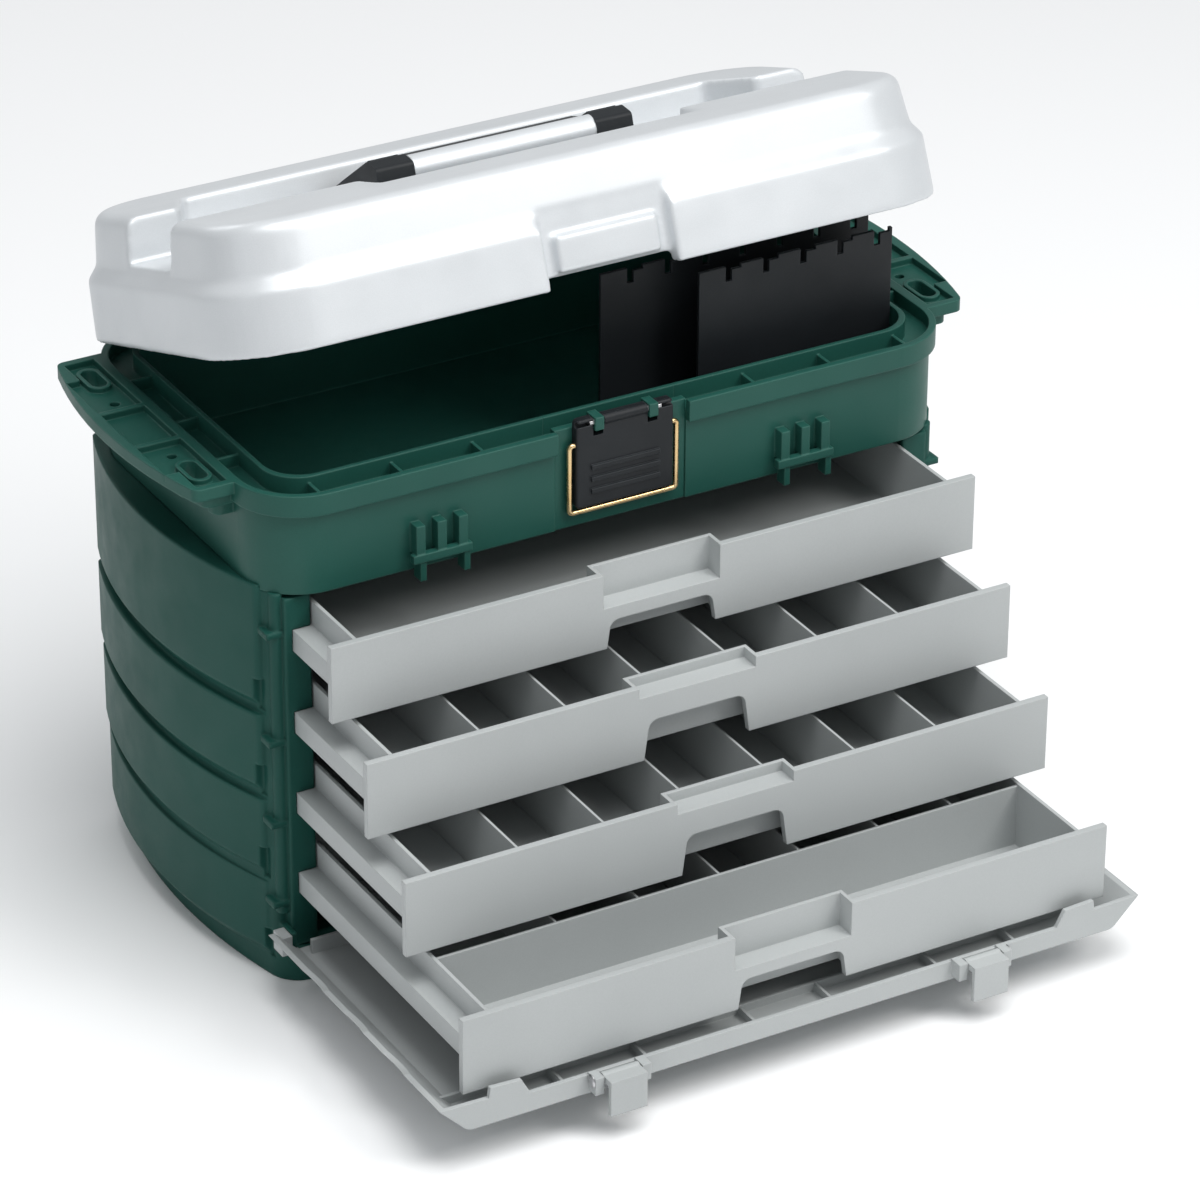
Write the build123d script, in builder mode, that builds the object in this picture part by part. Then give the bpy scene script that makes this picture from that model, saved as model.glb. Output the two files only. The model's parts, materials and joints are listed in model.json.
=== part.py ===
from build123d import *
import math
import os

os.makedirs("parts", exist_ok=True)

# Frame: +Z up, origin on the floor at the middle of the cabinet's base, front faces -Y.

# overall
cab_half = 238.0          # half width of the cabinet at its front and rear corners
cab_bow = 21.0            # how far each side bows out at mid depth
cab_front = -115.0        # front of the pillars, set back under the tub
cab_back = 122.0
deck_top = 276.0          # top of the cabinet, where the tub sits
rim_top = 344.0           # outer rim of the tub
lid_lower = 345.0         # lower edge of the closed lid
wall = 4.0

# side lobes of the cabinet: lower edge, upper edge, half width
lobe_proud = 5.0
lobes = [(15.0, 70.0, 236.0), (74.0, 129.0, 238.0), (133.0, 189.0, 239.0), (193.0, 279.0, 239.0)]
base_height = 26.0
base_half = 229.0
base_deep = 242.0
bay_half = 225.5          # inside of the cabinet, half width
bay_floor = 6.0
sill_height = 30.0
pillar_deep = 8.0
flange_front = -122.5     # face of the pillars' inner flanges
lobe_setback = 6.5        # front edge of the lobes behind the pillars' face
column_x = 229.8
column_radius = 4.5
column_low = 52.0
tick_heights = [60.0, 117.0, 174.0, 249.0]

# drawers
drawer_count = 4
panel_width = 453.0
panel_height = 51.2
panel_thick = 4.5
panel_top = 268.0         # top edge of drawer 1
pitch = 56.8
tray_half = 209.0
tray_wall = 2.4
tray_depth = 236.0        # from the panel's front face to the tray's rear face
tray_drop = 47.0          # panel top down to the tray's underside
rail_half = 222.0         # outer faces of the rails
rail_top = 17.0
rail_height = 14.4
rail_skin = 2.5
rest_faces = [-181.4, -225.4, -272.2, -342.0]   # front face of each drawer as it stands open
pull_half = 41.0
pull_depth = 14.0
pull_floors = [23.0, 7.0, 7.0, 23.0]
arch_heights = [19.0, 27.0, 27.0, 20.0]
slide_gap = 0.5

# drawer guides
liner_face = rail_half + slide_gap
guide_setback = 2.0
guide_shelf = 3.0
guide_rib = 4.0

# tub
tub_half = 241.0
tub_front = -130.0
tub_back = 121.0
rim_half = 244.5
rim_front = -134.5
rim_back = 125.5
rim_corner = 44.0
rim_lip = 14.0
rim_wide = 4.5            # thickness of the outer rim wall
gutter_deep = 9.0
well_inset = 19.5         # outer rim to the outside of the inner raised rim
inner_rim_wall = 3.0
inner_rim_rise = 3.0
tub_floor = 279.5
tub_skin = 3.0

# wings
wing_half = 270.0
wing_bow = 13.0
wing_front = -94.0
wing_back = 102.0
wing_thick = 8.0
hole_radius = 3.2

# lid, opened about its hinge
lid_open = 19.3
hinge_y = 132.0
hinge_z = 348.0
lid_half = 252.0
lid_front = -138.5
lid_back = 124.0
lid_corner = 58.0
lid_wall = 3.5
hump_skin = 9.0           # the humps' walls lean in, so their hollow stands further in
skirt_height = 46.0       # up to the foot of the humps
skirt_taper = 2.5
skirt_straight = 38.0     # up to the sloping shoulder
scoop_half = 112.0        # dip in the front hump before the handle
scoop_deep = 7.0
scoop_run = 34.0
ledge_inset = 7.5
lid_height = 78.5
well_front = -39.0        # front side of the handle well
channel_back = 24.0       # rear side of the end channels
well_back = 62.0          # rear side of the wide part of the well
channel_run = 196.0       # where the end channels meet the wide well
channel_floor = 50.0
notch_half = 44.0
latch_clear = 6.8         # room over the rim for the turning latch
notch_deep = 8.5
knuckle_radius = 5.5
knuckle_long = 15.0
hinge_pin_radius = 2.0
run_gap = 0.05            # radial clearance of a turning pin
part_gap = 0.5            # side clearance between moving pieces

# handle, folded flat in the well
grip_radius = 8.5
grip_y = -10.0
grip_z = 74.5             # above the lid's lower edge
pivot_y = 46.0
pivot_z = 58.0
arm_wide = 26.0
arm_x = 77.0
back_bar = 16.0           # width of the flat bar behind the sleeve
handle_pin_radius = 3.0

# latch
plate_half = 34.0
plate_height = 60.0
plate_thick = 6.0
plate_top = 350.0
bay_panel_half = 46.0
bay_face = -129.0
latch_axis_y = -134.0
latch_axis_z = 347.0
bail_wire = 1.7
bail_half = 37.5
bail_drop = 46.0
bail_axis_z = 333.0

# door, lying open in front
door_half = 247.0         # across the tops of the flared side walls
door_flat = 228.0         # half width of the flat panel
door_edge = -351.0        # outer face of the door's far wall
door_back = -128.0
door_low = 27.0
door_skin = 3.0
door_side_top = 46.0
door_front_top = 40.0
door_axis_y = -125.0
door_axis_z = 38.0
door_pin_radius = 2.6
lug_in = 228.2            # the cabinet's pivot lugs
lug_out = 232.0
clip_x = 128.0
clip_half = 12.5
clip_axis_y = -355.5
clip_axis_z = 38.0

# lure racks
rack_ys = [-86.0, -58.0]
rack_half = 70.0
rack_x = 150.0
rack_extra = 54.0         # the rear plate is longer
slot_pitch = 27.0
rack_thick = 2.5
rack_top = 403.0


def plan_outline(half, bow, front, back, corner):
    middle = (front + back) / 2
    with BuildSketch(mode=Mode.PRIVATE) as plan:
        with BuildLine():
            Line((-half, front), (half, front))
            ThreePointArc((half, front), (half + bow, middle), (half, back))
            Line((half, back), (-half, back))
            ThreePointArc((-half, back), (-half - bow, middle), (-half, front))
        make_face()
        fillet(plan.vertices(), corner)
    return plan.sketch


def block(x0, x1, y0, y1, z0, z1, mode=Mode.ADD):
    with Locations(((x0 + x1) / 2, (y0 + y1) / 2, (z0 + z1) / 2)):
        Box(abs(x1 - x0), abs(y1 - y0), abs(z1 - z0), mode=mode)


def rod(x0, x1, y, z, radius, mode=Mode.ADD):
    with Locations(Location(((x0 + x1) / 2, y, z), (0, 90, 0))):
        Cylinder(radius, abs(x1 - x0), mode=mode)


def save(piece, name):
    piece.label = name
    export_step(piece, f"parts/{name}.step")


# ---- cabinet shell
with BuildPart() as cabinet_shell:
    with BuildSketch(Plane.XY.offset(base_height)):
        add(plan_outline(cab_half - lobe_proud, cab_bow, cab_front, cab_back - 4, 7))
    extrude(amount=deck_top - base_height)
    with BuildSketch(Plane.XY):
        add(plan_outline(base_half, cab_bow - 4, -base_deep / 2, base_deep / 2, 22))
    extrude(amount=base_height)
    for low, high, half in lobes:
        with BuildSketch(Plane.XY.offset(low)):
            add(plan_outline(half - lobe_proud, cab_bow, cab_front + lobe_setback + 2, cab_back - 3, 5))
        with BuildSketch(Plane.XY.offset(low + 7)):
            add(plan_outline(half, cab_bow, cab_front + lobe_setback, cab_back, 5))
        loft()
        with BuildSketch(Plane.XY.offset(low + 7)):
            add(plan_outline(half, cab_bow, cab_front + lobe_setback, cab_back, 5))
        extrude(amount=high - low - 7)
    # front pillars carry a half-round column with short cross bars
    for side in (-1, 1):
        with Locations((side * column_x, cab_front, (column_low + deck_top) / 2)):
            Cylinder(column_radius, deck_top - column_low)
        for height in tick_heights:
            block(side * (column_x - 2), side * (column_x + 9), cab_front - column_radius - 1,
                  cab_front + lobe_setback, height - 2, height + 2)
    # the top lobe stands up around the foot of the tub
    with BuildSketch(Plane.XY.offset(deck_top)):
        with Locations((0, (tub_front + tub_back) / 2)):
            RectangleRounded(2 * tub_half, tub_back - tub_front, rim_corner - 4)
    extrude(amount=20, mode=Mode.SUBTRACT)
    # the bay for the drawers, following the bowed sides behind the pillars
    with BuildSketch(Plane.XY.offset(sill_height)):
        add(plan_outline(cab_half - lobe_proud - wall - 2, cab_bow, cab_front + pillar_deep, cab_back - 2 * wall, 4))
    extrude(amount=deck_top - wall - sill_height, mode=Mode.SUBTRACT)
    block(-bay_half, bay_half, cab_front - 20, cab_back - wall, sill_height, deck_top - wall, mode=Mode.SUBTRACT)
    block(-bay_half, bay_half, cab_front + 12, cab_back - wall, bay_floor, sill_height + 1, mode=Mode.SUBTRACT)
    # inner flanges of the pillars, notched for the drawers' rails
    for side in (-1, 1):
        block(side * (tray_half + slide_gap + 0.8), side * (bay_half + 2), flange_front, cab_front + 1,
              sill_height - 1, deck_top - wall + 1)
        for n in range(drawer_count):
            high = panel_top - n * pitch - rail_top + slide_gap
            block(side * (tray_half - 1), side * (rail_half + slide_gap), flange_front - 1, cab_front + 2,
                  high - rail_height - 2 * slide_gap, high, mode=Mode.SUBTRACT)
    # lugs for the door's pivots stand between the drawer ends and the door's side walls
    for side in (-1, 1):
        block(side * lug_in, side * lug_out, door_axis_y - 5, cab_front + 3, door_axis_z - 5,
              door_axis_z + 5)
        rod(side * 220, side * 240, door_axis_y, door_axis_z, door_pin_radius, mode=Mode.SUBTRACT)
        # notched front edge of each lobe
        for low, high, half in lobes:
            block(side * (half - 4), side * (half + 8), cab_front + lobe_setback - 1,
                  cab_front + lobe_setback + 5, low - 1, low + 21, mode=Mode.SUBTRACT)
save(cabinet_shell.part, "cabinet_shell")

# ---- drawer guides, one liner on each side of the bay
for side, name in ((-1, "guide_left"), (1, "guide_right")):
    with BuildPart() as guide:
        block(side * liner_face, side * bay_half, cab_front + guide_setback, cab_back - wall - 2,
              sill_height + 0.5, deck_top - wall - 0.5)
        for n in range(drawer_count):
            top = panel_top - n * pitch
            under = top - rail_top - rail_height - slide_gap
            block(side * (tray_half + slide_gap), side * (liner_face + 1), cab_front + guide_setback,
                  cab_back - wall - 2, under - guide_shelf, under)
            rib_in = tray_half + slide_gap + 1
            block(side * rib_in, side * (rib_in + guide_rib), cab_front + guide_setback,
                  cab_back - wall - 2, under - 0.5, top - rail_top - rail_skin - slide_gap)
    save(guide.part, name)

# ---- drawers
cell = 2 * (tray_half - tray_wall) / 7
even_dividers = [(k - 3.5) * cell for k in range(1, 7)]
divider_plans = [[], even_dividers, even_dividers, [-124.0, -67.0, -10.0, 47.0, 104.0, 158.0]]
long_divider = 70.0       # lengthwise wall of the lowest drawer, behind its face
for n in range(drawer_count):
    top = panel_top - n * pitch
    face = rest_faces[n]
    inner = face + panel_thick
    rear = face + tray_depth
    under = top - tray_drop
    pocket = face + pull_depth
    shelf = top - pull_floors[n]
    with BuildPart() as tray:
        block(-panel_width / 2, panel_width / 2, face, inner, top - panel_height, top)
        block(-tray_half, tray_half, inner - 1, rear, under, top - 0.6)
        block(-tray_half + tray_wall, tray_half - tray_wall, inner, rear - tray_wall, under + tray_wall, top + 1,
              mode=Mode.SUBTRACT)
        # finger pull: a pocket above and a hollow below, parted by a shelf
        block(-pull_half - 2.5, pull_half + 2.5, inner - 1, pocket + 2.5, under, top)
        block(-pull_half, pull_half, face - 1, pocket, shelf, top + 1, mode=Mode.SUBTRACT)
        block(-pull_half, pull_half, inner, pocket, under - 1, shelf - 2.5, mode=Mode.SUBTRACT)
        # arched cut-out in the lower edge
        with BuildSketch(Plane.XZ.offset(-face + 1)) as arch:
            with Locations((0, top - panel_height)):
                Trapezoid(2 * pull_half, 2 * arch_heights[n], 82)
            fillet(arch.vertices().sort_by(Axis.Y)[-2:], 7)
        extrude(amount=-panel_thick - 2, mode=Mode.SUBTRACT)
        for side in (-1, 1):
            block(side * (tray_half - 1), side * rail_half, inner - 1, rear,
                  top - rail_top - rail_skin, top - rail_top)
            block(side * (rail_half - rail_skin), side * rail_half, inner - 1, rear,
                  top - rail_top - rail_height, top - rail_top)
        if n == drawer_count - 1:
            block(-tray_half + 1, tray_half - 1, face + long_divider, face + long_divider + 2, under + 1, top - 2)
    save(tray.part, f"drawer_{n + 1}_tray")
    if divider_plans[n]:
        near = face + long_divider + 2.2 if n == drawer_count - 1 else inner + 0.3
        with BuildPart() as dividers:
            for x in divider_plans[n]:
                start = max(near, pocket + 2.8) if abs(x) < pull_half + 4 else near
                block(x - 0.8, x + 0.8, start, rear - tray_wall - 0.2, under + tray_wall, top - 2)
        save(dividers.part, f"drawer_{n + 1}_dividers")

# ---- tub
with BuildPart() as tub:
    tub_mid = (tub_front + tub_back) / 2
    rim_mid = (rim_front + rim_back) / 2
    rim_deep = rim_back - rim_front
    with BuildSketch(Plane.XY.offset(deck_top)):
        with Locations((0, tub_mid)):
            RectangleRounded(2 * tub_half, tub_back - tub_front, rim_corner - 4)
    extrude(amount=rim_top - deck_top)
    with BuildSketch(Plane.XY.offset(rim_top - rim_lip)):
        with Locations((0, rim_mid)):
            RectangleRounded(2 * rim_half, rim_deep, rim_corner)
    extrude(amount=rim_lip)
    # wings: a thin outer edge, deeper against the tub
    for low, grow in ((rim_top - wing_thick, 0.0), (rim_top - 16, -9.0), (rim_top - 25, -18.0)):
        with BuildSketch(Plane.XY.offset(low)):
            add(plan_outline(wing_half + grow, wing_bow, wing_front - grow / 2, wing_back + grow / 2, 6))
        extrude(amount=rim_top - low - (0 if grow == 0.0 else wing_thick - 1))
    # the well for the tackle
    with BuildSketch(Plane.XY.offset(rim_top)):
        with Locations((0, rim_mid)):
            RectangleRounded(2 * (rim_half - well_inset), rim_deep - 2 * well_inset, rim_corner - well_inset)
    extrude(amount=inner_rim_rise)
    inset = well_inset + inner_rim_wall
    with BuildSketch(Plane.XY.offset(tub_floor)):
        with Locations((0, rim_mid)):
            RectangleRounded(2 * (rim_half - inset), rim_deep - 2 * inset, rim_corner - inset + 3)
    extrude(amount=rim_top + 10 - tub_floor, mode=Mode.SUBTRACT)
    # gutter between the two rims
    with BuildSketch(Plane.XY.offset(rim_top - gutter_deep)):
        with Locations((0, rim_mid)):
            RectangleRounded(2 * (rim_half - rim_wide), rim_deep - 2 * rim_wide, rim_corner - rim_wide)
            RectangleRounded(2 * (rim_half - well_inset), rim_deep - 2 * well_inset, rim_corner - well_inset,
                             mode=Mode.SUBTRACT)
    extrude(amount=gutter_deep, mode=Mode.SUBTRACT)
    # ribs across the gutter
    for x in (-205, -150, -95, 95, 150, 205):
        block(x - 1, x + 1, rim_front + 2, rim_front + well_inset + 1, rim_top - gutter_deep - 1, rim_top - 1)
        block(x - 1, x + 1, rim_back - well_inset - 1, rim_back - 2, rim_top - gutter_deep - 1, rim_top - 1)
    for side in (-1, 1):
        for y in (-60, -4, 60):
            block(side * (rim_half - well_inset - 1), side * (rim_half - 2), y - 1, y + 1,
                  rim_top - gutter_deep - 1, rim_top - 1)
    # pans in the wings, each with two cross ribs and holes
    for side in (-1, 1):
        for y0, y1 in ((wing_front + 5, -26), (-22, 24), (28, wing_back - 5)):
            block(side * (rim_half + 2.5), side * (wing_half - 3), y0, y1, rim_top - 4.5, rim_top + 1,
                  mode=Mode.SUBTRACT)
        block(side * (wing_half - 4), side * (wing_half + wing_bow - 7), -66, 74, rim_top - 4.5, rim_top + 1,
              mode=Mode.SUBTRACT)
        block(side * (wing_half - 5), side * (wing_half + wing_bow - 6), -26, -22, rim_top - 6, rim_top)
        block(side * (wing_half - 5), side * (wing_half + wing_bow - 6), 24, 28, rim_top - 6, rim_top)
        for y in (-66, 74):
            with BuildSketch(Plane.XY.offset(rim_top - 5)):
                with Locations((side * (rim_half + 13), y)):
                    SlotOverall(30, 15.5, rotation=90)
            extrude(amount=4)
            with BuildSketch(Plane.XY.offset(rim_top - 30)):
                with Locations((side * (rim_half + 13), y)):
                    SlotOverall(25, 10.5, rotation=90)
            extrude(amount=40, mode=Mode.SUBTRACT)
        for y in (-38, 42):
            with Locations((side * (rim_half + 14), y, rim_top - 5)):
                Cylinder(hole_radius, 60, mode=Mode.SUBTRACT)
    # the double wall is hollow
    with BuildSketch(Plane.XY.offset(deck_top)):
        with Locations((0, tub_mid)):
            RectangleRounded(2 * (tub_half - tub_skin), tub_back - tub_front - 2 * tub_skin,
                             rim_corner - 4 - tub_skin)
        with Locations((0, rim_mid)):
            RectangleRounded(2 * (rim_half - well_inset), rim_deep - 2 * well_inset, rim_corner - well_inset,
                             mode=Mode.SUBTRACT)
    extrude(amount=rim_top - gutter_deep - tub_skin - deck_top, mode=Mode.SUBTRACT)
    # the rim stops at the latch, where the wall is set back
    block(-bay_panel_half, bay_panel_half, rim_front - 1, bay_face, deck_top - 1, rim_top + 1, mode=Mode.SUBTRACT)
    block(-bay_panel_half, bay_panel_half, bay_face, bay_face + 5, deck_top, rim_top)
    for side in (-1, 1):
        block(side * 16, side * 22, latch_axis_y - 3.5, bay_face + 3, latch_axis_z - 5, latch_axis_z + 3.5)
        block(side * 16, side * 22, bay_face, bay_face + 3, rim_top - 12, latch_axis_z)
        rod(side * 14, side * 24, latch_axis_y, latch_axis_z, hinge_pin_radius, mode=Mode.SUBTRACT)
    # hooks that hold the closed door
    for centre in (-clip_x, clip_x):
        for step in (-14.5, 0, 14.5):
            block(centre + step - 3, centre + step + 3, tub_front - 8, tub_front + 1, 288, 308)
        block(centre - 20, centre + 20, tub_front - 9, tub_front - 4, 283.5, 289)
        for step in (-13.0, 17.0):
            block(centre + step - 2, centre + step + 2, tub_front - 8, tub_front + 1, 270.5, 285)
    # hinge knuckles at the rear
    for x in (-150, 0, 150):
        for step in (-1, 1):
            x0 = x + step * (knuckle_long / 2 + part_gap)
            x1 = x0 + step * knuckle_long
            rod(x0, x1, hinge_y, hinge_z, knuckle_radius)
            block(x0, x1, rim_back - 3, hinge_y, rim_top - 16, rim_top)
            block(x0, x1, hinge_y - 1, hinge_y + knuckle_radius, rim_top - 8, hinge_z)
        rod(x - 60, x + 60, hinge_y, hinge_z, hinge_pin_radius, mode=Mode.SUBTRACT)
        block(x - knuckle_long / 2 - part_gap, x + knuckle_long / 2 + part_gap, rim_back - 2.0, hinge_y + 8,
              hinge_z - knuckle_radius - 1.5, hinge_z + 10, mode=Mode.SUBTRACT)
    # the wall behind the latch is a piece of its own
    whole_tub = tub.part
    block(-bay_panel_half, bay_panel_half, rim_front - 10, rim_front + inset, deck_top - 1, rim_top + 12,
          mode=Mode.SUBTRACT)
save(tub.part, "upper_tub")

with BuildPart() as latch_wall:
    add(whole_tub)
    block(-bay_panel_half, bay_panel_half, rim_front - 10, rim_front + inset, deck_top - 1, rim_top + 12,
          mode=Mode.INTERSECT)
save(latch_wall.part, "latch_wall")

with BuildPart() as lid_hinge_pins:
    for x in (-150, 0, 150):
        rod(x - 1.5 * knuckle_long - 1, x + 1.5 * knuckle_long + 1, hinge_y, hinge_z, hinge_pin_radius)
save(lid_hinge_pins.part, "lid_hinge_pins")

# ---- lid: drawn closed, then turned open about its hinge
base = lid_lower
with BuildPart() as lid:
    lid_mid = (lid_front + lid_back) / 2
    lid_deep = lid_back - lid_front
    with BuildSketch(Plane.XY.offset(base)):
        with Locations((0, lid_mid)):
            RectangleRounded(2 * lid_half, lid_deep, lid_corner)
    extrude(amount=skirt_straight, taper=skirt_taper)
    upper_half = lid_half - ledge_inset
    narrow = skirt_straight * math.tan(math.radians(skirt_taper))
    with BuildSketch(Plane.XY.offset(base + skirt_straight)):
        with Locations((0, lid_mid)):
            RectangleRounded(2 * (lid_half - narrow), lid_deep - 2 * narrow, lid_corner - narrow)
    with BuildSketch(Plane.XY.offset(base + skirt_height)):
        with Locations((0, lid_mid)):
            RectangleRounded(2 * upper_half, lid_deep - 2 * ledge_inset, lid_corner - 6)
    loft()
    with BuildSketch(Plane.XY.offset(base + skirt_height - 1)):
        with Locations((0, lid_mid)):
            RectangleRounded(2 * upper_half, lid_deep - 2 * ledge_inset, lid_corner - 6)
    extrude(amount=lid_height - skirt_height + 1, taper=8)
    fillet(lid.edges().group_by(Axis.Z)[-1], 9)
    # handle well with a narrower channel running out at each end
    with BuildSketch(Plane.XY.offset(base + channel_floor)) as well:
        with BuildLine():
            Polyline((-lid_half - 5, well_front), (lid_half + 5, well_front), (lid_half + 5, channel_back),
                     (channel_run + 8, channel_back), (channel_run - 10, well_back), (-channel_run + 10, well_back),
                     (-channel_run - 8, channel_back), (-lid_half - 5, channel_back), close=True)
        make_face()
        fillet(well.vertices().filter_by_position(Axis.X, -230, 230), 7)
    extrude(amount=40, mode=Mode.SUBTRACT)
    with BuildSketch(Plane.YZ.offset(-scoop_half)):
        with BuildLine():
            Polyline((well_front - scoop_run, base + lid_height + 0.1), (well_front + 1, base + lid_height + 0.1),
                     (well_front + 1, base + lid_height - scoop_deep), close=True)
        make_face()
    extrude(amount=2 * scoop_half, mode=Mode.SUBTRACT)
    # inside of the skirt and of the two humps
    with BuildSketch(Plane.XY.offset(base - 1)):
        with Locations((0, lid_mid)):
            RectangleRounded(2 * (lid_half - lid_wall), lid_deep - 2 * lid_wall, lid_corner - lid_wall)
    extrude(amount=skirt_straight, taper=skirt_taper, mode=Mode.SUBTRACT)
    for y0, y1, ceiling in ((lid_front, well_front - lid_wall, lid_height - lid_wall - scoop_deep),
                            (well_back + lid_wall, lid_back, lid_height - lid_wall),
                            (lid_front, lid_back, channel_floor - lid_wall)):
        with BuildSketch(Plane.XY.offset(base + skirt_straight - 2)):
            with Locations((0, lid_mid)):
                RectangleRounded(2 * (upper_half - hump_skin), lid_deep - 2 * (ledge_inset + hump_skin),
                                 lid_corner - hump_skin)
            with Locations((0, (y0 + y1) / 2)):
                Rectangle(2 * lid_half, y1 - y0, mode=Mode.INTERSECT)
        extrude(amount=ceiling - skirt_straight + 2, mode=Mode.SUBTRACT)
    # the skirt is set back at the latch, with a raised plate whose top edge catches the bail
    notch = lid_front + notch_deep
    block(-notch_half, notch_half, lid_front - 2, notch, base - 1, base + skirt_height + 3, mode=Mode.SUBTRACT)
    block(-notch_half - lid_wall, notch_half + lid_wall, notch, notch + lid_wall, base + 1, base + skirt_height)
    block(-notch_half, notch_half, notch - 1, notch + lid_wall + 1, base - 1, base + latch_clear,
          mode=Mode.SUBTRACT)
    for side in (-1, 1):
        block(side * notch_half, side * (notch_half + lid_wall), lid_front + 0.8, notch + lid_wall, base,
              base + skirt_straight - 1)
    catch_half = bail_half - bail_wire - part_gap
    block(-catch_half, catch_half, notch - 6, notch + 1, base + 9.5,
          bail_axis_z + bail_drop - bail_wire - part_gap)
    # hinge knuckles
    for x in (-150, 0, 150):
        rod(x - knuckle_long / 2, x + knuckle_long / 2, hinge_y, hinge_z, knuckle_radius)
        block(x - knuckle_long / 2, x + knuckle_long / 2, lid_back - 3, hinge_y, hinge_z + 1, hinge_z + 8)
        rod(x - 60, x + 60, hinge_y, hinge_z, hinge_pin_radius + run_gap, mode=Mode.SUBTRACT)
    # lugs for the handle, on the floor of the well
    for side in (-1, 1):
        for x in (side * (arm_x - arm_wide / 2 - part_gap - 5), side * (arm_x + arm_wide / 2 + part_gap)):
            block(x, x + side * 5, pivot_y - 7, pivot_y + 8, base + channel_floor - 2, base + pivot_z + 6)
        rod(side * (arm_x - 20), side * (arm_x + 20), pivot_y, base + pivot_z, handle_pin_radius, mode=Mode.SUBTRACT)
hinge_line = Axis((0, hinge_y, hinge_z), (1, 0, 0))


def opened(piece):
    return piece.rotate(hinge_line, -lid_open)


save(opened(lid.part), "lid")

# ---- handle: a black bow with a sleeve along its front bar
grip_end = arm_x - arm_wide / 2
with BuildPart() as handle_bow:
    for side in (-1, 1):
        with BuildSketch(Plane.YZ.offset(side * arm_x - arm_wide / 2)) as arm:
            with BuildLine():
                Polyline((pivot_y + 6, base + pivot_z - 6), (pivot_y + 6, base + pivot_z + 6),
                         (pivot_y - 14, base + pivot_z + 13), (grip_y + 3, base + grip_z + grip_radius + 1),
                         (grip_y - grip_radius, base + grip_z + 5), (grip_y - grip_radius, base + grip_z - 8),
                         (grip_y + 6, base + grip_z - 12), (pivot_y - 10, base + pivot_z - 7), close=True)
            make_face()
            fillet(arm.vertices(), 3)
        extrude(amount=arm_wide)
        rod(side * (arm_x - arm_wide), side * (arm_x + arm_wide), pivot_y, base + pivot_z,
            handle_pin_radius + run_gap, mode=Mode.SUBTRACT)
    rod(-grip_end - 1, grip_end + 1, grip_y, base + grip_z, grip_radius - 3.5)
    block(-grip_end - 1, grip_end + 1, grip_y + grip_radius + 0.5, grip_y + grip_radius + 0.5 + back_bar,
          base + grip_z + 1, base + grip_z + 6.5)
save(opened(handle_bow.part), "handle_bow")

with BuildPart() as handle_grip:
    rod(-grip_end, grip_end, grip_y, base + grip_z, grip_radius)
    rod(-grip_end - 1, grip_end + 1, grip_y, base + grip_z, grip_radius - 3.5, mode=Mode.SUBTRACT)
save(opened(handle_grip.part), "handle_grip")

with BuildPart() as handle_pins:
    for side in (-1, 1):
        reach = arm_wide / 2 + part_gap + 5
        rod(side * (arm_x - reach), side * (arm_x + reach), pivot_y, base + pivot_z, handle_pin_radius)
save(opened(handle_pins.part), "handle_pins")

# ---- latch
with BuildPart() as latch_plate:
    back = bay_face - 0.6
    block(-plate_half, plate_half, back - plate_thick, back, plate_top - plate_height, plate_top)
    fillet(latch_plate.edges().filter_by(Axis.Y), 3)
    fillet(latch_plate.faces().sort_by(Axis.Y)[0].edges(), 1.5)
    for z in (301, 309, 317):
        block(-24, 24, back - plate_thick - 1.6, back - plate_thick + 1, z - 1.6, z + 1.6)
    # windows for the tub's two lugs, and the knuckle between them
    for side in (-1, 1):
        block(side * 15.5, side * 22.5, back - plate_thick - 1, back + 1, latch_axis_z - 9, plate_top + 1,
              mode=Mode.SUBTRACT)
    rod(-15, 15, latch_axis_y + 0.4, latch_axis_z, 3.4)
    rod(-40, 40, latch_axis_y, latch_axis_z, hinge_pin_radius + run_gap, mode=Mode.SUBTRACT)
    rod(-40, 40, back - plate_thick / 2, bail_axis_z, bail_wire + run_gap, mode=Mode.SUBTRACT)
save(latch_plate.part, "latch_plate")

with BuildPart() as latch_pin:
    rod(-25, 25, latch_axis_y, latch_axis_z, hinge_pin_radius)
save(latch_pin.part, "latch_pin")

bail_y = bay_face - 0.6 - plate_thick / 2
with BuildPart() as latch_bail:
    with BuildLine(Plane.XZ.offset(-bail_y)) as wire:
        FilletPolyline((plate_half - 8, bail_axis_z), (bail_half, bail_axis_z), (bail_half, bail_axis_z - bail_drop),
                       (-bail_half, bail_axis_z - bail_drop), (-bail_half, bail_axis_z),
                       (-plate_half + 8, bail_axis_z), radius=2.4)
    with BuildSketch(Plane(wire.line @ 0, z_dir=wire.line % 0)):
        Circle(bail_wire)
    sweep()
save(latch_bail.part, "latch_bail")

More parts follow.
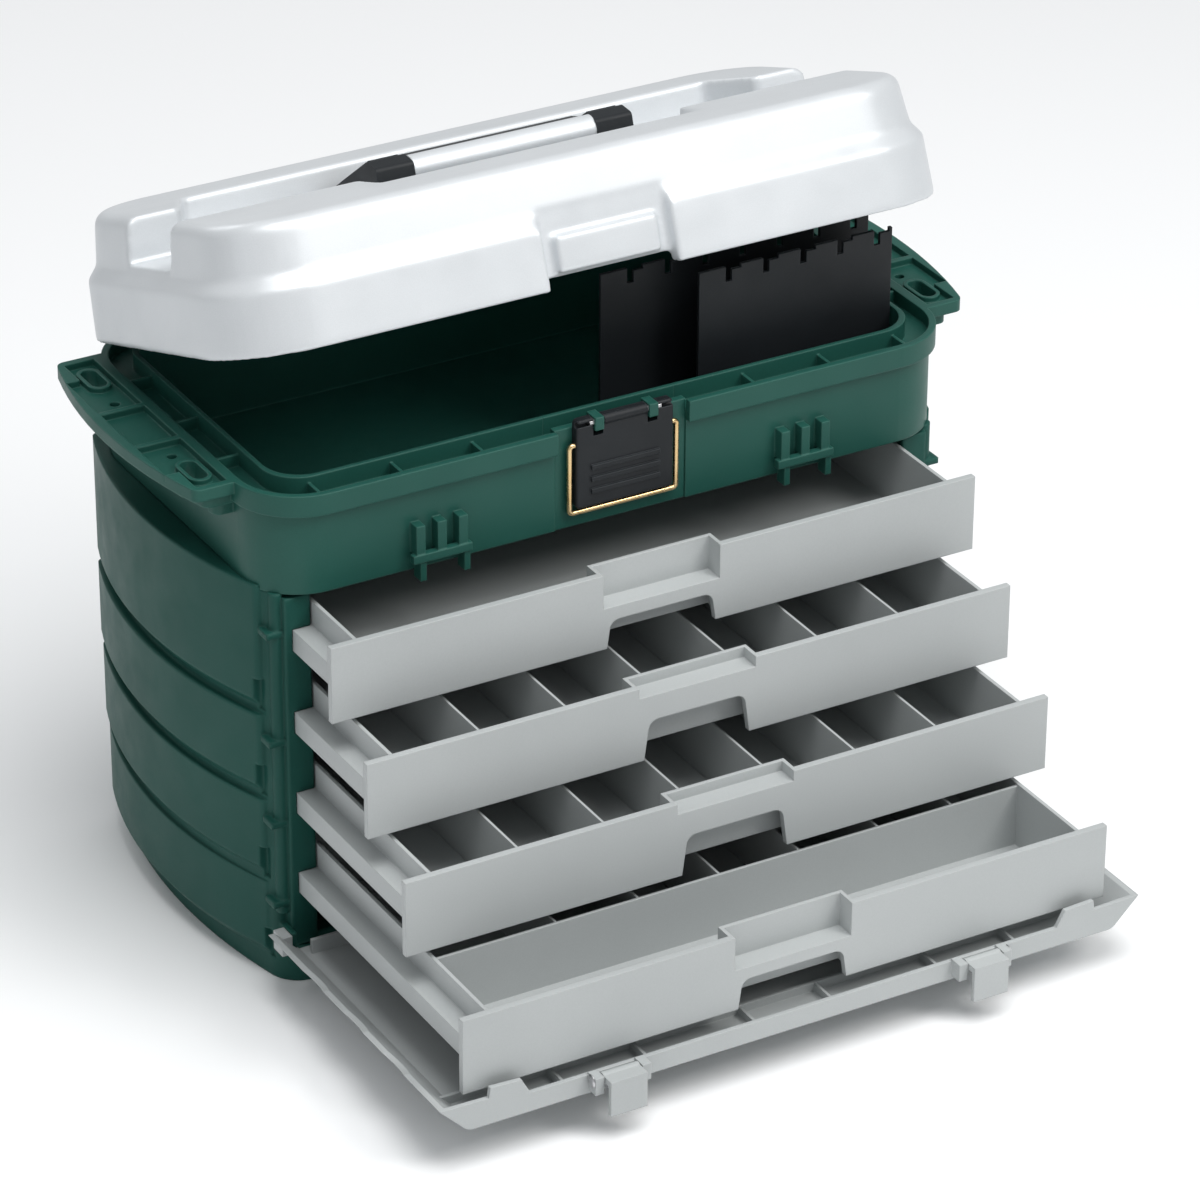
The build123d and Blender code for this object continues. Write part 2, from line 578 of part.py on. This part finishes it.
# ---- door
door_run = door_back - door_edge
with BuildPart() as door:
    with BuildSketch(Plane.XZ.offset(-door_back)) as section:
        with BuildLine():
            Polyline((-door_half, door_side_top), (-door_half + 4, door_side_top),
                     (-door_flat + 2, door_low + door_skin), (door_flat - 2, door_low + door_skin),
                     (door_half - 4, door_side_top), (door_half, door_side_top), (door_flat, door_low),
                     (-door_flat, door_low), close=True)
        make_face()
        fillet(section.vertices().sort_by(Axis.Y)[:2], 9)
    extrude(amount=door_run)
    # far wall: low in the middle, an ear near each end
    with BuildSketch(Plane.XZ.offset(-door_edge)) as far_wall:
        with BuildLine():
            Polyline((-door_half, door_side_top), (-214, door_side_top - 1), (-213, door_side_top + 6),
                     (-192, door_side_top + 5), (-186, door_front_top), (186, door_front_top),
                     (192, door_side_top + 5), (213, door_side_top + 6), (214, door_side_top - 1),
                     (door_half, door_side_top), (door_flat, door_low), (-door_flat, door_low), close=True)
        make_face()
        fillet(far_wall.vertices().sort_by(Axis.Y)[:2], 9)
    extrude(amount=-door_skin)
    # inner wall and ribs of the shallow tray along the far edge
    block(-door_flat - 5, door_flat + 5, door_edge + 26, door_edge + 28.4, door_low + 1, door_low + 9)
    for x in (-160, -103, -27, 27, 103, 160):
        block(x - 1, x + 1, door_edge + 1, door_edge + 27, door_low + 1, door_low + 8.5)
    # near wall with gussets
    block(-222, 222, door_back - 10, door_back - 7.5, door_low + 1, door_low + 13)
    for x in (-190, 190):
        block(x - 1.2, x + 1.2, door_back - 30, door_back - 9, door_low + 1, door_low + 9)
    for side in (-1, 1):
        # scallops in the side walls
        for y in (-188, -240, -292):
            with Locations(Location((side * door_half, y, door_side_top + 34.5), (0, 90, 0))):
                Cylinder(37, 30, mode=Mode.SUBTRACT)
        # room for the cabinet's lug, and the ear that turns on its pin
        block(side * (lug_in - part_gap), side * (lug_out + part_gap), door_axis_y - 6.5, door_back + 1,
              door_low - 1, door_side_top + 1, mode=Mode.SUBTRACT)
        block(side * (lug_out + part_gap), side * (lug_out + part_gap + 7), door_axis_y - 7, door_axis_y + 5,
              door_axis_z - 8, door_axis_z + 5)
        rod(side * 225, side * 245, door_axis_y, door_axis_z, door_pin_radius + run_gap, mode=Mode.SUBTRACT)
        # clip lugs
        for step in (-1, 1):
            x0 = side * clip_x + step * (clip_half + part_gap)
            block(x0, x0 + step * 6, clip_axis_y - 4.5, door_edge + 1, door_low + 3, clip_axis_z + 3.5)
        rod(side * clip_x - 24, side * clip_x + 24, clip_axis_y, clip_axis_z, hinge_pin_radius, mode=Mode.SUBTRACT)
        rod(side * clip_x - clip_half - part_gap, side * clip_x + clip_half + part_gap, clip_axis_y, clip_axis_z,
            4.4, mode=Mode.SUBTRACT)
save(door.part, "door")

with BuildPart() as door_pins:
    for side in (-1, 1):
        rod(side * lug_in, side * (lug_out + part_gap + 7), door_axis_y, door_axis_z, door_pin_radius)
save(door_pins.part, "door_pins")

for side, name in ((-1, "door_clip_left"), (1, "door_clip_right")):
    with BuildPart() as clip:
        x0, x1 = side * clip_x - clip_half, side * clip_x + clip_half
        rod(x0, x1, clip_axis_y, clip_axis_z, 3.8)
        block(x0, x1, clip_axis_y - 9, clip_axis_y, clip_axis_z - 1, clip_axis_z + 3)
        block(x0, x1, clip_axis_y - 11.5, clip_axis_y - 8.5, clip_axis_z - 21, clip_axis_z + 3)
        block(x0 + 4, x1 - 4, clip_axis_y - 10, clip_axis_y - 4, clip_axis_z - 21, clip_axis_z - 18)
        rod(x0 - 2, x1 + 2, clip_axis_y, clip_axis_z, hinge_pin_radius + run_gap, mode=Mode.SUBTRACT)
    save(clip.part, name)

with BuildPart() as clip_pins:
    for side in (-1, 1):
        reach = clip_half + part_gap + 6
        rod(side * clip_x - reach, side * clip_x + reach, clip_axis_y, clip_axis_z, hinge_pin_radius)
save(clip_pins.part, "clip_pins")

# ---- lure racks: two toothed plates joined by a floor
with BuildPart() as lure_rack:
    rack_low = tub_floor + 0.5
    for y, reach in zip(rack_ys, (0, rack_extra)):
        block(rack_x - rack_half - reach, rack_x + rack_half, y - rack_thick / 2, y + rack_thick / 2, rack_low,
              rack_top)
        count = 5 + round(reach / slot_pitch)
        for k in range(count):
            x = rack_x + rack_half - 11 - k * slot_pitch
            block(x - 2.3, x + 2.3, y - 3, y + 3, rack_top - 10, rack_top + 1, mode=Mode.SUBTRACT)
            block(x + 1, x + 9, y - 3, y + 3, rack_top - 2.5, rack_top + 1, mode=Mode.SUBTRACT)
    block(rack_x - rack_half, rack_x + rack_half, rack_ys[0], rack_ys[1], rack_low, rack_low + rack_thick)
save(lure_rack.part, "lure_rack")
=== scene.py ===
import bpy, bmesh, json, math
from mathutils import Vector, Matrix


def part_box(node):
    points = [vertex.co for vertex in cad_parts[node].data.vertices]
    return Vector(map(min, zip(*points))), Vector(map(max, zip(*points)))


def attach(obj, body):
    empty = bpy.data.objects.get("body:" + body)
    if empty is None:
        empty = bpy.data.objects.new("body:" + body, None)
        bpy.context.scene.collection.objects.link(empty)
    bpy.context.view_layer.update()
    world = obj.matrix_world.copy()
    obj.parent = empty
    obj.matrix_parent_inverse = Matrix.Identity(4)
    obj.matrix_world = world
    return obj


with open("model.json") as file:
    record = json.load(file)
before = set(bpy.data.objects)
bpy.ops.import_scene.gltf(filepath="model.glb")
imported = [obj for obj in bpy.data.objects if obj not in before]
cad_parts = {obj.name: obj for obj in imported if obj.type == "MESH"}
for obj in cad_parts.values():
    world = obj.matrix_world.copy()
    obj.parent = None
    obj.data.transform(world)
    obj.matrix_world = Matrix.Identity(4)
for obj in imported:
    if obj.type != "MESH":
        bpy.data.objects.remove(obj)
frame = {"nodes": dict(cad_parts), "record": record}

nodes = frame["nodes"]
scene = bpy.context.scene
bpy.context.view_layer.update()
print("frame loaded,", len(nodes), "nodes")

# ---- camera and studio
view = {"azimuth": -29.75, "elevation": 28.73, "roll": 0.25, "lens": 167.1, "sensor": 36.0,
        "place": (-1.5120, -2.7507, 1.8744)}
az, el, roll = (math.radians(view[k]) for k in ("azimuth", "elevation", "roll"))
back = Vector((math.sin(az) * math.cos(el), -math.cos(az) * math.cos(el), math.sin(el)))
flatRight = Vector((math.cos(az), math.sin(az), 0))
flatUp = back.cross(flatRight)
camRight = flatRight * math.cos(roll) + flatUp * math.sin(roll)
camUp = back.cross(camRight)
camData = bpy.data.cameras.new("camera")
camData.lens, camData.sensor_width = view["lens"], view["sensor"]
camData.clip_start, camData.clip_end = 0.05, 60
camera = bpy.data.objects.new("camera", camData)
camera.matrix_world = Matrix((
    (camRight.x, camUp.x, back.x, view["place"][0]),
    (camRight.y, camUp.y, back.y, view["place"][1]),
    (camRight.z, camUp.z, back.z, view["place"][2]),
    (0, 0, 0, 1)))
scene.collection.objects.link(camera)
scene.camera = camera

studio = {"floorTone": (0.96, 0.965, 0.97), "skyTone": (0.96, 0.98, 1.0), "skyStrength": 0.46}
lamps = [
    # name, place, aim, size, watts, colour
    ("keyLamp", (1.2, -1.8, 2.2), (0.05, -0.15, 0.2), 1.1, 26, (1.0, 0.985, 0.965)),
    ("topLamp", (0.0, -0.9, 3.1), (0.0, -0.1, 0.2), 2.0, 60, (1.0, 1.0, 1.0)),
    ("leftLamp", (-3.2, -1.0, 1.8), (0.0, 0.0, 0.2), 1.4, 2.5, (0.94, 0.97, 1.0)),
    ("backLamp", (-0.6, 2.6, 2.2), (0.0, 0.0, 0.3), 1.2, 8, (1.0, 1.0, 1.0)),
]


def makeLamp(name, place, aim, size, watts, tone):
    data = bpy.data.lights.new(name, "AREA")
    data.shape, data.size, data.energy, data.color = "DISK", size, watts, tone
    lamp = bpy.data.objects.new(name, data)
    lamp.location = place
    lamp.rotation_euler = (Vector(aim) - Vector(place)).to_track_quat("-Z", "Y").to_euler()
    scene.collection.objects.link(lamp)


for lamp in lamps:
    makeLamp(*lamp)

world = bpy.data.worlds.new("studioWorld")
world.use_nodes = True
sky = world.node_tree.nodes["Background"]
sky.inputs["Color"].default_value = (*studio["skyTone"], 1)
sky.inputs["Strength"].default_value = studio["skyStrength"]
scene.world = world
scene.view_settings.view_transform = "Standard"
print("camera and lamps set")


# ---- small helpers
def addNode(tree, kind, **values):
    node = tree.nodes.new(kind)
    for key, value in values.items():
        if hasattr(node, key):
            setattr(node, key, value)
        else:
            node.inputs[key.replace("_", " ")].default_value = value
    return node


def meshObject(name, verts, faces, smooth=False):
    mesh = bpy.data.meshes.new(name)
    mesh.from_pydata([tuple(v) for v in verts], [], faces)
    mesh.validate()
    piece = bpy.data.objects.new(name, mesh)
    scene.collection.objects.link(piece)
    if smooth:
        mesh.polygons.foreach_set("use_smooth", [True] * len(mesh.polygons))
    return piece


def dress(piece, material):
    piece.data.materials.clear()
    piece.data.materials.append(material)


# ---- finishes
def mouldedPlastic(name, look):
    mat = bpy.data.materials.new(name)
    mat.use_nodes = True
    tree = mat.node_tree
    shader = tree.nodes["Principled BSDF"]
    link = tree.links.new
    where = addNode(tree, "ShaderNodeTexCoord")
    shader.inputs["Metallic"].default_value = look.get("metal", 0.0)
    shader.inputs["Specular IOR Level"].default_value = look.get("shine", 0.5)

    # slow drift of tone, as a moulding has
    drift = addNode(tree, "ShaderNodeTexNoise", Scale=look.get("driftScale", 7.0), Detail=3.0, Roughness=0.55)
    link(where.outputs["Object"], drift.inputs["Vector"])
    ramp = addNode(tree, "ShaderNodeValToRGB")
    ramp.color_ramp.elements[0].position, ramp.color_ramp.elements[1].position = 0.32, 0.70
    ramp.color_ramp.elements[0].color = (*look["deep"], 1)
    ramp.color_ramp.elements[1].color = (*look["tone"], 1)
    link(drift.outputs["Fac"], ramp.inputs["Fac"])

    # fine speckle in the pigment
    speck = addNode(tree, "ShaderNodeTexNoise", Scale=look.get("speckScale", 900.0), Detail=2.0, Roughness=0.7)
    link(where.outputs["Object"], speck.inputs["Vector"])
    speckRange = addNode(tree, "ShaderNodeMapRange", From_Min=0.3, From_Max=0.7,
                         To_Min=1 - look.get("speck", 0.04), To_Max=1 + look.get("speck", 0.04))
    link(speck.outputs["Fac"], speckRange.inputs["Value"])
    specked = addNode(tree, "ShaderNodeVectorMath", operation="SCALE")
    link(ramp.outputs["Color"], specked.inputs[0])
    link(speckRange.outputs["Result"], specked.inputs["Scale"])

    # edges: rounded in the light, and painted paler, partly as rubbed wear and partly as a painted highlight
    # along every edge
    edge = addNode(tree, "ShaderNodeBevel", samples=6, Radius=look.get("edge", 0.0012))
    flat = addNode(tree, "ShaderNodeNewGeometry")
    along = addNode(tree, "ShaderNodeVectorMath", operation="DOT_PRODUCT")
    link(edge.outputs["Normal"], along.inputs[0])
    link(flat.outputs["Normal"], along.inputs[1])
    # painted highlight together with rubbed wear: the paler tone goes on every edge, whatever the lamps
    edgeWearAndHighlight = addNode(tree, "ShaderNodeMapRange", From_Min=0.995, From_Max=0.80, To_Min=0.0,
                     To_Max=look.get("edgeWearAndHighlightShare", 0.25))
    link(along.outputs["Value"], edgeWearAndHighlight.inputs["Value"])
    edgeWearAndHighlightTone = addNode(tree, "ShaderNodeMix", data_type="RGBA")
    link(edgeWearAndHighlight.outputs["Result"], edgeWearAndHighlightTone.inputs["Factor"])
    link(specked.outputs["Vector"], edgeWearAndHighlightTone.inputs["A"])
    edgeWearAndHighlightTone.inputs["B"].default_value = (*look["edgeWearAndHighlightTone"], 1)
    link(edgeWearAndHighlightTone.outputs["Result"], shader.inputs["Base Color"])

    # roughness: broad handling marks and fine grain
    marks = addNode(tree, "ShaderNodeTexNoise", Scale=38.0, Detail=4.0, Roughness=0.6)
    link(where.outputs["Object"], marks.inputs["Vector"])
    rough = addNode(tree, "ShaderNodeMapRange", From_Min=0.3, From_Max=0.7,
                    To_Min=look["rough"] - look.get("roughVary", 0.06), To_Max=look["rough"] + look.get("roughVary", 0.06))
    link(marks.outputs["Fac"], rough.inputs["Value"])
    link(rough.outputs["Result"], shader.inputs["Roughness"])

    # surface: mould grain over a faint waviness
    grain = addNode(tree, "ShaderNodeTexNoise", Scale=look.get("grainScale", 1500.0), Detail=2.0)
    link(where.outputs["Object"], grain.inputs["Vector"])
    wave = addNode(tree, "ShaderNodeTexNoise", Scale=look.get("waveScale", 14.0), Detail=1.0)
    link(where.outputs["Object"], wave.inputs["Vector"])
    waveBump = addNode(tree, "ShaderNodeBump", Strength=look.get("wave", 0.25), Distance=0.0012)
    link(wave.outputs["Fac"], waveBump.inputs["Height"])
    link(edge.outputs["Normal"], waveBump.inputs["Normal"])
    grainBump = addNode(tree, "ShaderNodeBump", Strength=look.get("grain", 0.18), Distance=0.00025)
    link(grain.outputs["Fac"], grainBump.inputs["Height"])
    link(waveBump.outputs["Normal"], grainBump.inputs["Normal"])
    link(grainBump.outputs["Normal"], shader.inputs["Normal"])
    return mat


def drawnWire(name, look):
    mat = bpy.data.materials.new(name)
    mat.use_nodes = True
    tree = mat.node_tree
    shader = tree.nodes["Principled BSDF"]
    link = tree.links.new
    shader.inputs["Metallic"].default_value = 1.0
    where = addNode(tree, "ShaderNodeTexCoord")
    tarnish = addNode(tree, "ShaderNodeTexNoise", Scale=90.0, Detail=5.0, Roughness=0.65)
    link(where.outputs["Object"], tarnish.inputs["Vector"])
    ramp = addNode(tree, "ShaderNodeValToRGB")
    ramp.color_ramp.elements[0].position, ramp.color_ramp.elements[1].position = 0.35, 0.68
    ramp.color_ramp.elements[0].color = (*look["deep"], 1)
    ramp.color_ramp.elements[1].color = (*look["tone"], 1)
    link(tarnish.outputs["Fac"], ramp.inputs["Fac"])
    link(ramp.outputs["Color"], shader.inputs["Base Color"])
    rough = addNode(tree, "ShaderNodeMapRange", From_Min=0.3, From_Max=0.7, To_Min=look["rough"] - 0.07,
                    To_Max=look["rough"] + 0.1)
    link(tarnish.outputs["Fac"], rough.inputs["Value"])
    link(rough.outputs["Result"], shader.inputs["Roughness"])
    lines = addNode(tree, "ShaderNodeTexNoise", Scale=1800.0, Detail=2.0)
    link(where.outputs["Object"], lines.inputs["Vector"])
    bump = addNode(tree, "ShaderNodeBump", Strength=0.12, Distance=0.0001)
    link(lines.outputs["Fac"], bump.inputs["Height"])
    link(bump.outputs["Normal"], shader.inputs["Normal"])
    return mat


# the paler edge tone in each look is partly rubbed wear and partly a painted highlight
greenPlastic = mouldedPlastic("greenPlastic", {
    "tone": (0.017, 0.092, 0.072), "deep": (0.013, 0.076, 0.060), "edgeWearAndHighlightTone": (0.07, 0.21, 0.17), "rough": 0.42,
    "shine": 0.24, "edge": 0.0016, "edgeWearAndHighlightShare": 0.35, "grain": 0.22, "speck": 0.05})
silverPlastic = mouldedPlastic("silverPlastic", {
    "tone": (0.68, 0.705, 0.725), "deep": (0.63, 0.655, 0.675), "edgeWearAndHighlightTone": (0.80, 0.82, 0.83), "rough": 0.40,
    "metal": 0.32, "edge": 0.002, "edgeWearAndHighlightShare": 0.25, "grain": 0.08, "speck": 0.03, "speckScale": 1600.0, "wave": 0.12})
greyPlastic = mouldedPlastic("greyPlastic", {
    "tone": (0.455, 0.478, 0.478), "deep": (0.42, 0.442, 0.443), "edgeWearAndHighlightTone": (0.66, 0.68, 0.68), "rough": 0.42,
    "edge": 0.001, "edgeWearAndHighlightShare": 0.35, "grain": 0.15, "speck": 0.025})
# the cabinet is moulded with larger radii than the tub
cabinetGreen = mouldedPlastic("cabinetGreen", {
    "tone": (0.013, 0.078, 0.062), "deep": (0.010, 0.064, 0.051), "edgeWearAndHighlightTone": (0.06, 0.19, 0.155), "rough": 0.46,
    "shine": 0.16, "edge": 0.0032, "edgeWearAndHighlightShare": 0.30, "grain": 0.26, "speck": 0.05})
blackPlastic = mouldedPlastic("blackPlastic", {
    "tone": (0.014, 0.017, 0.020), "deep": (0.010, 0.012, 0.014), "edgeWearAndHighlightTone": (0.07, 0.08, 0.09), "rough": 0.48,
    "shine": 0.28, "edge": 0.001, "edgeWearAndHighlightShare": 0.40, "grain": 0.25, "speck": 0.08})
brassWire = drawnWire("brassWire", {"tone": (0.80, 0.60, 0.33), "deep": (0.62, 0.43, 0.20), "rough": 0.26})
steelWire = drawnWire("steelWire", {"tone": (0.62, 0.62, 0.63), "deep": (0.45, 0.45, 0.46), "rough": 0.3})
finishes = {"green": greenPlastic, "silver": silverPlastic, "grey": greyPlastic, "black": blackPlastic,
            "brass": brassWire, "steel": steelWire}
for part in frame["record"]["subparts"]:
    dress(nodes[part["node"]], finishes[part["material_slot"]])
dress(nodes["cabinet_shell"], cabinetGreen)
print("finishes on")


# ---- softened moulding: the moulded radii on the lid shell
def softenShell(node, voxel, passes):
    remesh = node.modifiers.new("skin", "REMESH")
    remesh.mode, remesh.voxel_size, remesh.adaptivity = "VOXEL", voxel, 0.0
    remesh.use_smooth_shade = True
    soft = node.modifiers.new("soft", "SMOOTH")
    soft.factor, soft.iterations = 0.5, passes


softShells = {"lid": (0.0015, 10)}
for name, (voxel, passes) in softShells.items():
    softenShell(nodes[name], voxel, passes)
print("shells softened")

# ---- finger ribs on the black ends of the handle
joints = {j["name"]: j for j in frame["record"]["behaviour"]["joints"]}
lidTurn = math.radians(joints["lid_hinge"]["range_deg"][0])


def alongLid(pivot, dy, dz):
    # an offset drawn with the lid closed, turned with it as it stands open
    return (pivot[1] + dy * math.cos(lidTurn) - dz * math.sin(lidTurn),
            pivot[2] + dy * math.sin(lidTurn) + dz * math.cos(lidTurn))


def ribBar(name, x0, x1, y, z, radius):
    rings, around = 5, 12
    verts, faces = [], []
    stops = [(x0 + radius * (1 - math.cos(k * math.pi / 2 / rings)), math.sin(k * math.pi / 2 / rings))
             for k in range(1, rings + 1)]
    stops += [(x1 - (x - x0), size) for x, size in reversed(stops)]
    for x, size in stops:
        for a in range(around):
            turn = 2 * math.pi * a / around
            verts.append((x, y + radius * size * math.cos(turn), z + radius * size * math.sin(turn)))
    for k in range(len(stops) - 1):
        for a in range(around):
            b = (a + 1) % around
            faces.append((k * around + a, k * around + b, (k + 1) * around + b, (k + 1) * around + a))
    faces.append(tuple(reversed(range(around))))
    faces.append(tuple(range((len(stops) - 1) * around, len(stops) * around)))
    return meshObject(name, verts, faces, smooth=True)


grips = {"count": 7, "radius": 0.0011, "start": (-0.019, 0.0148), "end": (-0.049, 0.0248), "wide": 0.0218}
pivot = joints["handle_hinge"]["pos_m"]
bowLow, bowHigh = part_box("handle_bow")
gripLow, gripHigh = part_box("handle_grip")
for side, near, far in (("left", gripLow[0], bowLow[0]), ("right", gripHigh[0], bowHigh[0])):
    middle = (near + far) / 2
    for k in range(grips["count"]):
        t = k / (grips["count"] - 1)
        dy = grips["start"][0] * (1 - t) + grips["end"][0] * t
        dz = grips["start"][1] * (1 - t) + grips["end"][1] * t
        y, z = alongLid(pivot, dy, dz)
        rib = ribBar(f"handleRib_{side}_{k + 1}", middle - grips["wide"] / 2, middle + grips["wide"] / 2, y, z,
                     grips["radius"])
        dress(rib, blackPlastic)
        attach(rib, "handle")
print("handle ribs on")

# ---- domed heads on the pins that show
heads = {"radius": 0.0043, "height": 0.0016, "rings": 6, "around": 28}


def pinHead(name, x, way, y, z):
    verts, faces = [], []
    for k in range(heads["rings"]):
        turn = k * math.pi / 2 / heads["rings"]
        for a in range(heads["around"]):
            spin = 2 * math.pi * a / heads["around"]
            verts.append((x + way * heads["height"] * math.sin(turn), y + heads["radius"] * math.cos(turn) * math.cos(spin),
                          z + heads["radius"] * math.cos(turn) * math.sin(spin)))
    tip = len(verts)
    verts.append((x + way * heads["height"], y, z))
    for k in range(heads["rings"] - 1):
        for a in range(heads["around"]):
            b = (a + 1) % heads["around"]
            ring = [k * heads["around"] + a, k * heads["around"] + b, (k + 1) * heads["around"] + b,
                    (k + 1) * heads["around"] + a]
            faces.append(ring if way > 0 else ring[::-1])
    last = (heads["rings"] - 1) * heads["around"]
    for a in range(heads["around"]):
        b = (a + 1) % heads["around"]
        ring = [last + a, last + b, tip]
        faces.append(ring if way > 0 else ring[::-1])
    rim = list(range(heads["around"]))
    faces.append(rim[::-1] if way > 0 else rim)
    piece = meshObject(name, verts, faces, smooth=True)
    dress(piece, steelWire)
    return piece


pinLow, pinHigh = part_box("handle_pins")
for x, way, name in ((pinLow[0], -1, "left"), (pinHigh[0], 1, "right")):
    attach(pinHead(f"handlePinHead_{name}", x, way, pivot[1], pivot[2]), "lid")
clipLow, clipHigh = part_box("clip_pins")
clipPivot = joints["clip_right_hinge"]["pos_m"]
for x, way, name in ((clipLow[0], -1, "left"), (clipHigh[0], 1, "right")):
    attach(pinHead(f"clipPinHead_{name}", x, way, clipPivot[1], clipPivot[2]), "door")
print("pin heads on")

# ---- floor
floorSize = 9.0
floor = meshObject("floor", [(-floorSize, -floorSize, 0), (floorSize, -floorSize, 0), (floorSize, floorSize, 0),
                             (-floorSize, floorSize, 0)], [(0, 1, 2, 3)])
floor.location.z = -0.0004
floorMat = bpy.data.materials.new("paleFloor")
floorMat.use_nodes = True
floorTree = floorMat.node_tree
floorShader = floorTree.nodes["Principled BSDF"]
floorWhere = addNode(floorTree, "ShaderNodeTexCoord")
floorNoise = addNode(floorTree, "ShaderNodeTexNoise", Scale=2.2, Detail=2.0)
floorTree.links.new(floorWhere.outputs["Object"], floorNoise.inputs["Vector"])
floorRamp = addNode(floorTree, "ShaderNodeValToRGB")
floorRamp.color_ramp.elements[0].color = (*[c * 0.99 for c in studio["floorTone"]], 1)
floorRamp.color_ramp.elements[1].color = (*studio["floorTone"], 1)
floorTree.links.new(floorNoise.outputs["Fac"], floorRamp.inputs["Fac"])
floorTree.links.new(floorRamp.outputs["Color"], floorShader.inputs["Base Color"])
floorShader.inputs["Roughness"].default_value = 0.75
dress(floor, floorMat)

print("scene done")
